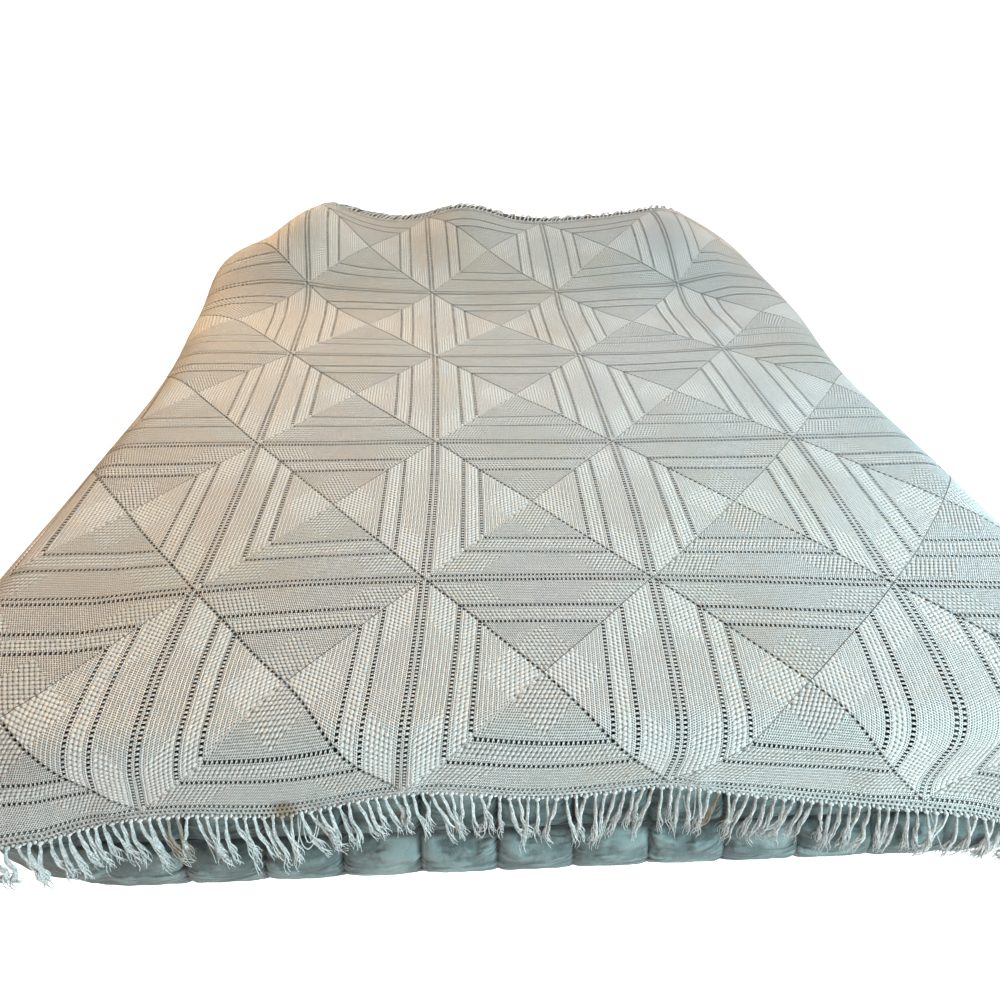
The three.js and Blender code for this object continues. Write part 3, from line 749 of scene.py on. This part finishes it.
strand_pitch = COLUMNS / STRANDS_PER_SIDE * SQUARE_ACROSS
print("strands", STRANDS_PER_SIDE, "an end,", round(strand_pitch, 1), "mm apart")

# %% [markdown]
# Round each path go seven threads. They start close together in the knot, turn about once on the way
# down and open at the tip, some a little shorter than others. A few single threads have come out of
# their strands and curl. The knots are small rounded lumps of uneven size, with a smaller one between
# each two.

# %% Strands: threads and knots
THREADS, THREAD_SIDES, THREAD_TWIST = 7, 3, 1.1
THREAD_RADIUS, THREAD_ORBIT = 1.15, 1.9
TIP_OPENS = {"foot": 3.4, "head": 0.6}
THREAD_LENGTHS, THREAD_SWINGS, TIP_SPREAD = (0.86, 1.06), (0.5, 1.2), (0.2, 1.4)
LOOSE_THREADS = [  # column, aside, length, how far round it curls
    (-0.90, 34, 48, 0.85),
    (-0.89, -34, 70, 0.5),
    (-0.88, 22, 40, 0.95),
    (-0.45, 26, 46, 0.9),
    (0.62, -18, 44, 0.9),
    (1.52, 30, 52, 0.7),
]
LOOSE_STEPS = 16
KNOT_SIZE, PICOT_SIZE = np.array([3.9, 3.6, 2.9]), np.array([2.6, 2.2, 2.2])
KNOT_VARIES, KNOT_TURN = 0.22, 2.4
STRAND_STEPS = {"foot": 17, "head": 9}
SEEDS = {"foot": 7, "head": 19}
ACROSS_AXIS = np.array([1.0, 0.0, 0.0])


def unit(vectors):
    return vectors / np.maximum(np.linalg.norm(vectors, axis=-1, keepdims=True), 1e-12)


def tubes(paths, radii, sides):
    """Points and faces of thin tubes around paths."""
    ahead = unit(np.gradient(paths, axis=1))
    level = unit(np.cross(ahead, ACROSS_AXIS))
    upward = np.cross(level, ahead)
    angle = np.linspace(0, math.tau, sides, endpoint=False)
    ring = np.cos(angle)[:, None] * level[:, :, None] + np.sin(angle)[:, None] * upward[:, :, None]
    points = paths[:, :, None] + radii[..., None, None] * ring
    corner = np.arange(points.size // 3).reshape(points.shape[:3])
    following = np.roll(corner, -1, axis=2)
    faces = np.stack([corner[:, :-1], corner[:, 1:], following[:, 1:], following[:, :-1]], -1)
    return points.reshape(-1, 3), faces.reshape(-1, 4)


def strand_threads(end, column, past, height, rng):
    """Threads twisted loosely round each strand's path, spreading at the tip."""
    count, places = column.shape
    share = np.linspace(0, 1, places)
    across, along = cloth_plane(column, beyond_hem(end, past))
    normal = skin_normal(across, along)
    begin = rng.uniform(0, math.tau, (count, 1))
    twist = THREAD_TWIST * rng.uniform(0.6, 1.5, (count, 1))
    paths = []
    for thread in range(THREADS):
        reach = past[:, :1] + (past - past[:, :1]) * rng.uniform(*THREAD_LENGTHS, (count, 1))
        middle = cloth(column, beyond_hem(end, reach), height)
        sideways = unit(np.cross(unit(np.gradient(middle, axis=1)), normal))
        angle = begin + math.tau * thread / THREADS + math.tau * twist * share
        opens = TIP_OPENS[end] * rng.uniform(*TIP_SPREAD, (count, 1)) * smooth(0.5, 1, share)
        swings = THREAD_ORBIT * rng.uniform(*THREAD_SWINGS, (count, 1))
        orbit = (swings * (0.5 + 0.5 * smooth(0, 0.4, share)) + opens) * MM
        aside = np.cos(angle)[..., None] * sideways + np.sin(angle)[..., None] * normal
        paths.append(middle + orbit[..., None] * aside)
    paths = np.concatenate(paths)
    radius = THREAD_RADIUS * (0.75 + 0.25 * smooth(0, 0.4, share)) * (1 - 0.65 * smooth(0.7, 1, share)) * MM
    return tubes(paths, np.broadcast_to(radius, paths.shape[:2]), THREAD_SIDES)


def loose_threads(end):
    """A few single threads that have come out of their strands and curl."""
    share = np.linspace(0, 1, LOOSE_STEPS + 1)
    column, aside, length, curl = np.array(LOOSE_THREADS).T[..., None]
    turn = math.pi * curl * share
    paths = cloth(
        column + aside * (1 - np.cos(turn)) / 2 / SQUARE_ACROSS,
        beyond_hem(end, EDGING_WIDTH + length * np.sin(turn)),
        STAND[end][0] + 6 * np.sin(math.pi * share),
    )
    return tubes(paths, np.full(paths.shape[:2], THREAD_RADIUS * 0.9 * MM), THREAD_SIDES)


def knots(end, column, size, past):
    """Small rounded knots at some columns, all copies of one sphere."""
    shape = bmesh.new()
    bmesh.ops.create_icosphere(shape, subdivisions=2, radius=1)
    ball = np.array([vert.co for vert in shape.verts]) * size
    faces = np.array([[vert.index for vert in face.verts] for face in shape.faces])
    shape.free()
    outward = ENDS[end][1]
    swell = 1 + KNOT_VARIES * np.sin(np.arange(len(column)) * KNOT_TURN)[:, None]
    places = cloth(
        column[:, None] + swell * ball[:, 0] / SQUARE_ACROSS,
        beyond_hem(end, past + outward * ball[:, 1] / swell),
        size[2] + swell * ball[:, 2],
    )
    offsets = np.arange(len(column))[:, None, None] * len(ball)
    return places.reshape(-1, 3), (faces + offsets).reshape(-1, 3)


def hanging_fringe(end):
    rng = np.random.default_rng(SEEDS[end])
    column, past, height = strand_paths(end, STRAND_STEPS[end], rng)
    between = (column[1:, 0] + column[:-1, 0]) / 2
    parts = [
        strand_threads(end, column, past, height, rng),
        loose_threads(end),
        knots(end, column[:, 0], KNOT_SIZE, EDGING_WIDTH - 0.5),
        knots(end, between, PICOT_SIZE, EDGING_WIDTH - 2.5),
    ]
    points, faces, count = [], [], 0
    for places, corners in parts:
        points.append(places)
        faces.extend((corners + count).tolist())
        count += len(places)
    mesh = bpy.data.meshes.new(f"fringe_strands_{end}")
    mesh.from_pydata(np.concatenate(points), [], faces)
    mesh.polygons.foreach_set("use_smooth", np.ones(len(faces), bool))
    stained_strands = [np.abs(column[:, 0] - place).argmin() for place in STAINED_COLUMNS]
    stained = np.isin(np.arange(STRANDS_PER_SIDE), stained_strands)
    stain = np.zeros(count, np.float32)
    per_thread = (STRAND_STEPS[end] + 1) * THREAD_SIDES
    of_strands = np.repeat(stained * 0.8 * (end == "foot"), per_thread)
    stain[: THREADS * len(of_strands)] = np.tile(of_strands, THREADS)
    mark(mesh, "stain", stain)
    mesh.update()
    return new_piece(f"fringe_strands_{end}", mesh, fringe_finish, f"fringe_{end}")


for end, piece in edgings.items():
    strands = hanging_fringe(end)
    half = np.linspace(-COLUMNS / 2, COLUMNS / 2, COLUMNS * CELLS + 1)
    middle_row = np.full_like(half, beyond_hem(end, EDGING_WIDTH / 2))
    width = lie_length(cloth(half, middle_row, np.zeros_like(half)))

# %% [markdown]
# Under the blanket is a box-quilted cover. Its lower flank shows below the fringe: washed cotton puffed
# up between sewn lines, with short wrinkles pulled towards the seams. The finish is a fine weave, a
# cloudy washed-out colour and small creases, painted darker along them as painted shade. The seams are
# painted very dark as painted shade, and so is the cover where the blanket lies on it, because little
# light gets under the cloth: seen through the eyelets it is the shade behind them.

# %% Quilted cover's finish
SAGE = (0.27, 0.35, 0.345, 1)
SAGE_DEEP = (0.12, 0.158, 0.154, 1)
SAGE_WORN = (0.38, 0.47, 0.46, 1)
# Painted shade of the seams' creases, also used under the blanket and under the head fringe.
SEAM_SHADE = (0.045, 0.055, 0.053, 1)
WEAVE_THREADS = 2600.0
CREASE_TURN, CREASE_STRETCH = (0, 0.45, 0), (0.4, 0.5, 1.5)


def quilted_cotton():
    material, shader, fibre = new_finish("quilted_cover", roughness=0.85, sheen=0.25)
    place = fibre.node("ShaderNodeTexCoord", {}, output="Object")
    across = place.math("SINE", place.part(0) * WEAVE_THREADS)
    upward = place.math("SINE", (place.part(1) + place.part(2)) * WEAVE_THREADS)
    weave = across * upward * 0.5 + 0.5
    slant = {"Vector": place, "Rotation": CREASE_TURN, "Scale": CREASE_STRETCH}
    slanted = place.node("ShaderNodeMapping", slant)
    creases = abs(slanted.noise(22.0, detail=3.0, roughness=0.5) - 0.5).rise(0.0, 0.16)
    cloud = place.noise(14.0, detail=5.0, roughness=0.6)
    grain = place.noise(150.0, detail=4.0, roughness=0.7) - 0.5
    puff = fibre.attribute("puff")
    # Painted shade: the colour is darker along the creases.
    light = cloud * 0.7 + creases * 0.45 + grain * 0.7 + weave * 0.06 - 0.06
    sage = light.rise(0.25, 0.85).blend(SAGE_DEEP, SAGE)
    worn = puff.rise(0.6, 1.0) * cloud.rise(0.4, 0.7) * 0.6
    # Painted shade where the puff mark is low: on the seams, under the blanket and under the head fringe.
    colour = (1 - puff.rise(0.05, 0.5)).blend(worn.blend(sage, SAGE_WORN), SEAM_SHADE)
    height = creases * (1.5 - puff) + grain * 0.12 + weave * 0.04
    finish_with(fibre, shader, colour, height, distance=0.012, strength=0.9)
    return material


cover_finish = quilted_cotton()
print("cover finish has", len(cover_finish.node_tree.nodes), "nodes")

# %% [markdown]
# The cover is one padded form over the whole bed. Its grid has three bands in each direction: near
# flank, top and far flank. Every sixteenth line of the foot's grid is a seam, so the seams stay sharp.

# %% Quilted cover: the grid over the bed
FLANK_CELLS, HEAD_CELLS, HIDDEN_CELLS, HIDDEN_SHARE = 56, 33, 10, 0.434
CORE_CELLS = (176, 84)
CORNER_DEPTH, CORNER_DROP = 110.0, (90.0, 230.0)


def flank_shares(cells):
    """Shares of the way from the top's core to the floor, closer together where the flank shows."""
    hidden = np.linspace(0, HIDDEN_SHARE, HIDDEN_CELLS + 1)[:-1]
    return np.r_[hidden, np.linspace(HIDDEN_SHARE, 1, cells - HIDDEN_CELLS + 1)]


def bed_steps(near_cells, core_cells, far_cells):
    """Steps over the bed: -1 to 0 over the near flank, 0 to 1 over the core, 1 to 2 over the far flank."""
    near, far = flank_shares(near_cells), flank_shares(far_cells)
    return np.r_[-near[::-1][:-1], np.linspace(0, 1, core_cells + 1), 1 + far[1:]]


def run_to_floor(end_share, headward):
    """The run at which the flank meets the floor, found by halving."""
    low, high = np.zeros_like(end_share), np.full_like(end_share, FLANK_REACH)
    for _ in range(30):
        middle = (low + high) / 2
        above = flank_at(middle, end_share, headward)[1] < BED_HEIGHT
        low, high = np.where(above, middle, low), np.where(above, high, middle)
    return (low + high) / 2


def bed_plane(step_across, step_along):
    """Where steps over the bed lie on the flat cloth plane, and in which direction from the core."""
    core_x = (np.clip(step_across, 0, 1) * 2 - 1) * (TOP_HALF_WIDTH - TOP_ROUND)
    core_y = TOP_FOOT + TOP_ROUND + np.clip(step_along, 0, 1) * (TOP_HEAD - TOP_FOOT - 2 * TOP_ROUND)
    square_x = step_across - np.clip(step_across, 0, 1)
    square_y = step_along - np.clip(step_along, 0, 1)
    disc_x = square_x * np.sqrt(1 - square_y**2 / 2)
    disc_y = square_y * np.sqrt(1 - square_x**2 / 2)
    share = np.hypot(disc_x, disc_y)
    end_share = (disc_y / np.maximum(share, 1e-9)) ** 2
    headward = step_along > 0.5
    reach = TOP_ROUND + run_to_floor(end_share, headward)
    return core_x + disc_x * reach, core_y + disc_y * reach, np.minimum(share, 1), end_share, headward


print("cover grid", len(bed_steps(FLANK_CELLS, CORE_CELLS[0], FLANK_CELLS)), "lines across")

# %% [markdown]
# Each point of the grid is moved onto the bed's skin, a little below the blanket, and then in towards
# the seams. A pressure simulation could puff the padding too, but the seams would move off their grid
# lines. The flanks are quilted, the head's one up to where the fringe ends. The grid's rim ends on
# the floor and is closed by one flat face.

# %% Quilted cover: puffs and seams
PUFF_ACROSS, PUFF_ALONG = 1240 / 11, 1543 / 10.5
SEAM_ACROSS, SEAM_ALONG = 35.3, 367.0
PUFF_SHARE, SEAM_SHARE = (1 - HIDDEN_SHARE) * 16 / 46, HIDDEN_SHARE + (1 - HIDDEN_SHARE) * 8 / 46
SEAM_DEPTH, COVER_BELOW, WRINKLE = 19.0, 1.8, 2.2
PUFF_FULLNESS = 0.36
SHOWS_DROP, ONTO_END = (20.0, 70.0), (0.35, 0.65)
SHALLOW_DROP, SHALLOW_SHARE = (175.0, 235.0), 0.8
HEM_SHADE, HEM_SHADE_ENDS, SHADE_DROP = (1990.0, 2050.0), (2080.0, 2140.0), (40.0, 130.0)


def puffed(sideways, share, pitch):
    """How full the padding is: 1 in the middle of a puff, 0 on a seam, and the pull of wrinkles."""
    side_seam = np.abs(np.sin(math.pi * sideways / pitch))
    level_seam = np.abs(np.sin(math.pi * (share - SEAM_SHARE) / PUFF_SHARE))
    wander = 2.2 * np.sin(sideways / 31) + 1.7 * np.sin(share * 31 + sideways / 57)
    pull = (1 - side_seam) * np.sin(share * 140 + wander) + (1 - level_seam) * np.sin(sideways / 5.6 + wander)
    return (side_seam * level_seam) ** PUFF_FULLNESS, pull


def cover_points(step_across, step_along):
    across, along, share, end_share, headward = bed_plane(step_across, step_along)
    point = skin(across, along)
    drop = BED_HEIGHT - point[:, 2]
    core = np.stack([np.clip(across, TOP_ROUND - TOP_HALF_WIDTH, TOP_HALF_WIDTH - TOP_ROUND),
                     np.clip(along, TOP_FOOT + TOP_ROUND, TOP_HEAD - TOP_ROUND)], -1)
    outward = unit(np.stack([across, along], -1) - core)
    rounding = CORNER_DEPTH * smooth(*CORNER_DROP, drop) * corner_share(end_share, headward)
    point[:, :2] -= outward * rounding[:, None]
    foot_puff, foot_pull = puffed(point[:, 0] - SEAM_ACROSS, share, PUFF_ACROSS)
    side_puff, side_pull = puffed(point[:, 1] - SEAM_ALONG, share, PUFF_ALONG)
    onto_end = smooth(*ONTO_END, end_share)
    puff = side_puff + (foot_puff - side_puff) * onto_end
    pull = side_pull + (foot_pull - side_pull) * onto_end
    past_hem = smooth(*HEM_SHADE_ENDS, along - FALL_BOW * (across / SQUARE_ACROSS) ** 2)
    shows = np.maximum(smooth(*SHOWS_DROP, drop), past_hem)
    depth = SEAM_DEPTH * (1 - SHALLOW_SHARE * smooth(*SHALLOW_DROP, drop))
    inward = COVER_BELOW + shows * (depth * (1 - puff) - WRINKLE * pull * puff)
    on_floor = share > 1 - 1e-6
    point -= skin_normal(across, along) * np.where(on_floor, 0, inward)[:, None]
    point[on_floor, 2] = 0
    point[:, 2] = np.maximum(point[:, 2], 0)
    # Painted shade: the colour mask is dark under the blanket and in a band past the head hem, under the
    # fringe.
    shaded = smooth(*HEM_SHADE, along) * (1 - past_hem) * (1 - smooth(*SHADE_DROP, drop))
    return point, shows * puff * (1 - shaded)


def quilted_cover():
    steps_across = bed_steps(FLANK_CELLS, CORE_CELLS[0], FLANK_CELLS)
    steps_along = bed_steps(FLANK_CELLS, CORE_CELLS[1], HEAD_CELLS)
    cells = np.array([len(steps_across), len(steps_along)]) - 1
    shape = bmesh.new()
    bmesh.ops.create_grid(shape, x_segments=cells[0], y_segments=cells[1], size=0.5)
    flat = np.array([vert.co.xy for vert in shape.verts])
    line = np.rint((flat + 0.5) * cells).astype(int)
    point, puff = cover_points(steps_across[line[:, 0]], steps_along[line[:, 1]])
    for vert, place in zip(shape.verts, point * MM + TO_FRAME):
        vert.co = place
    for face in shape.faces:
        face.smooth = True
    bmesh.ops.holes_fill(shape, edges=[edge for edge in shape.edges if edge.is_boundary])
    bmesh.ops.recalc_face_normals(shape, faces=shape.faces)
    mesh = bpy.data.meshes.new("quilted_cover")
    shape.to_mesh(mesh)
    shape.free()
    # The puff mark also carries painted shade: it is low under the blanket and under the head fringe, so the
    # colour is dark there.
    mark(mesh, "puff", puff)
    return new_piece("quilted_cover", mesh, cover_finish, "bed")


cover = quilted_cover()
print("cover", len(cover.data.polygons), "faces")

# %% [markdown]
# The floor is plain and pale, and rises behind the bed far away. It throws no light back, so that the
# blanket keeps its own colours.

# %% Floor
FLOOR_SIZE, BACKDROP_HEIGHT, FLOOR_GLOW = 80.0, 40.0, 1.0


def floor_finish():
    material, shader, fibre = new_finish("pale_floor", roughness=0.9, sheen=0.0)
    place = fibre.node("ShaderNodeTexCoord", {}, output="Object")
    tone = place.noise(0.6, detail=2.0).blend((0.92, 0.92, 0.92, 1), (0.95, 0.95, 0.95, 1))
    fibre.tree.links.new(tone.socket, shader.inputs["Base Color"])
    shader.inputs["Emission Color"].default_value = (1, 1, 1, 1)
    shader.inputs["Emission Strength"].default_value = FLOOR_GLOW
    return material


floor_shape = bmesh.new()
bmesh.ops.create_grid(floor_shape, x_segments=1, y_segments=1, size=FLOOR_SIZE / 2)
far_edge = [edge for edge in floor_shape.edges if all(vert.co.y > 0 for vert in edge.verts)]
raised = bmesh.ops.extrude_edge_only(floor_shape, edges=far_edge)["geom"]
raised_points = [part for part in raised if isinstance(part, bmesh.types.BMVert)]
bmesh.ops.translate(floor_shape, verts=raised_points, vec=(0, 0, BACKDROP_HEIGHT))
floor_mesh = bpy.data.meshes.new("floor")
floor_shape.to_mesh(floor_mesh)
floor_shape.free()
floor_mesh.materials.append(floor_finish())
floor = bpy.data.objects.new("floor", floor_mesh)
floor.visible_diffuse = False
bpy.context.scene.collection.objects.link(floor)
print("floor", FLOOR_SIZE, "m")

# %% [markdown]
# A large panel past the head gives most of the light, so ribs across the bed turn their shaded sides to
# the foot. Cool daylight comes from the right and a little warm light from the left. A low panel lights
# the foot's flank, and small lamps are beside the head. A sky texture would light all sides alike, so
# panels are the better choice here.

# %% Light
ROOM_TINT, ROOM_LIGHT = (0.88, 0.97, 1.0, 1), 0.172
world = bpy.data.worlds.new("soft_room")
world.use_nodes = True
world.node_tree.nodes["Background"].inputs["Color"].default_value = ROOM_TINT
world.node_tree.nodes["Background"].inputs["Strength"].default_value = ROOM_LIGHT
bpy.context.scene.world = world
bpy.context.scene.view_settings.view_transform = "Standard"

PANELS = [  # name, place, aims at, width, height, beam in degrees, watts, colour
    ("head_panel", (1.5, 9.0, 5.8), (0.0, 0.0, 0.3), 4.0, 4.0, 180, 365.0, (1.0, 1.0, 1.0)),
    ("daylight", (3.0, -1.9, 1.7), (0.7, -0.75, 0.2), 1.2, 1.2, 84, 36.0, (0.66, 0.92, 1.0)),
    ("window_beam", (1.0, 2.6, 3.6), (0.9, -0.8, 0.3), 1.0, 1.0, 54, 3.5, (0.05, 0.5, 1.0)),
    ("ceiling_beam", (-1.0, 2.6, 3.6), (-1.1, -0.5, 0.3), 1.0, 1.0, 60, 10.0, (1.0, 0.5, 0.05)),
    ("left_lamp", (-2.2, -2.4, 1.2), (-0.9, -0.8, 0.2), 1.0, 1.0, 90, 3.4, (1.0, 0.36, 0.03)),
    ("foot_panel", (0.45, -3.2, 0.5), (0.1, -1.0, 0.2), 2.0, 0.6, 180, 27.0, (0.88, 1.0, 1.0)),
    ("pillow_panel", (0.0, 1.5, 2.4), (0.0, 0.9, 0.4), 1.2, 1.2, 180, 9.5, (1.0, 0.8, 0.6)),
    ("left_bedside", (-1.6, 1.3, 0.8), (-0.9, 0.8, 0.4), 0.3, 0.3, 180, 14.0, (1.0, 0.62, 0.3)),
    ("right_bedside", (1.6, 1.4, 0.8), (0.8, 0.8, 0.4), 0.3, 0.3, 180, 7.0, (1.0, 0.5, 0.15)),
]
for name, place, target, width, height, beam, watts, colour in PANELS:
    panel = bpy.data.lights.new(name, "AREA")
    panel.shape = "RECTANGLE"
    panel.size = width
    panel.size_y = height
    panel.spread = math.radians(beam)
    panel.energy = watts
    panel.color = colour
    lamp = bpy.data.objects.new(name, panel)
    lamp.location = place
    lamp.rotation_euler = (Vector(target) - Vector(place)).to_track_quat("-Z", "Y").to_euler()
    bpy.context.scene.collection.objects.link(lamp)
print(len(PANELS), "light panels")

# %% [markdown]
# The camera stands at the foot and looks down, as for a photo taken by hand: a little turned, a little
# tilted, and with a wide lens.

# %% Camera
FOCAL_PIXELS, IMAGE_PIXELS, SENSOR_MM = 540.0, 1000.0, 36.0
CAMERA_YAW, CAMERA_PITCH, CAMERA_ROLL = 0.04412, 0.72243, 0.00936
CAMERA_PLACE = Vector((-90.4, -251.4, 1031.7)) * MM

view = bpy.data.cameras.new("foot_view")
view.sensor_width = SENSOR_MM
view.lens = FOCAL_PIXELS / IMAGE_PIXELS * SENSOR_MM
view.clip_start = 0.01
view.clip_end = 300
camera = bpy.data.objects.new("foot_view", view)
forward = Vector((
    math.sin(CAMERA_YAW) * math.cos(CAMERA_PITCH),
    math.cos(CAMERA_YAW) * math.cos(CAMERA_PITCH),
    -math.sin(CAMERA_PITCH),
))
level = Vector((math.cos(CAMERA_YAW), -math.sin(CAMERA_YAW), 0))
upright = level.cross(forward)
right = level * math.cos(CAMERA_ROLL) + upright * math.sin(CAMERA_ROLL)
up = upright * math.cos(CAMERA_ROLL) - level * math.sin(CAMERA_ROLL)
camera_turn = Matrix((right, up, -forward)).transposed().to_4x4()
camera.matrix_world = Matrix.Translation(CAMERA_PLACE + Vector(TO_FRAME)) @ camera_turn
bpy.context.scene.collection.objects.link(camera)
bpy.context.scene.camera = camera
print("camera at", [round(x, 3) for x in camera.location])
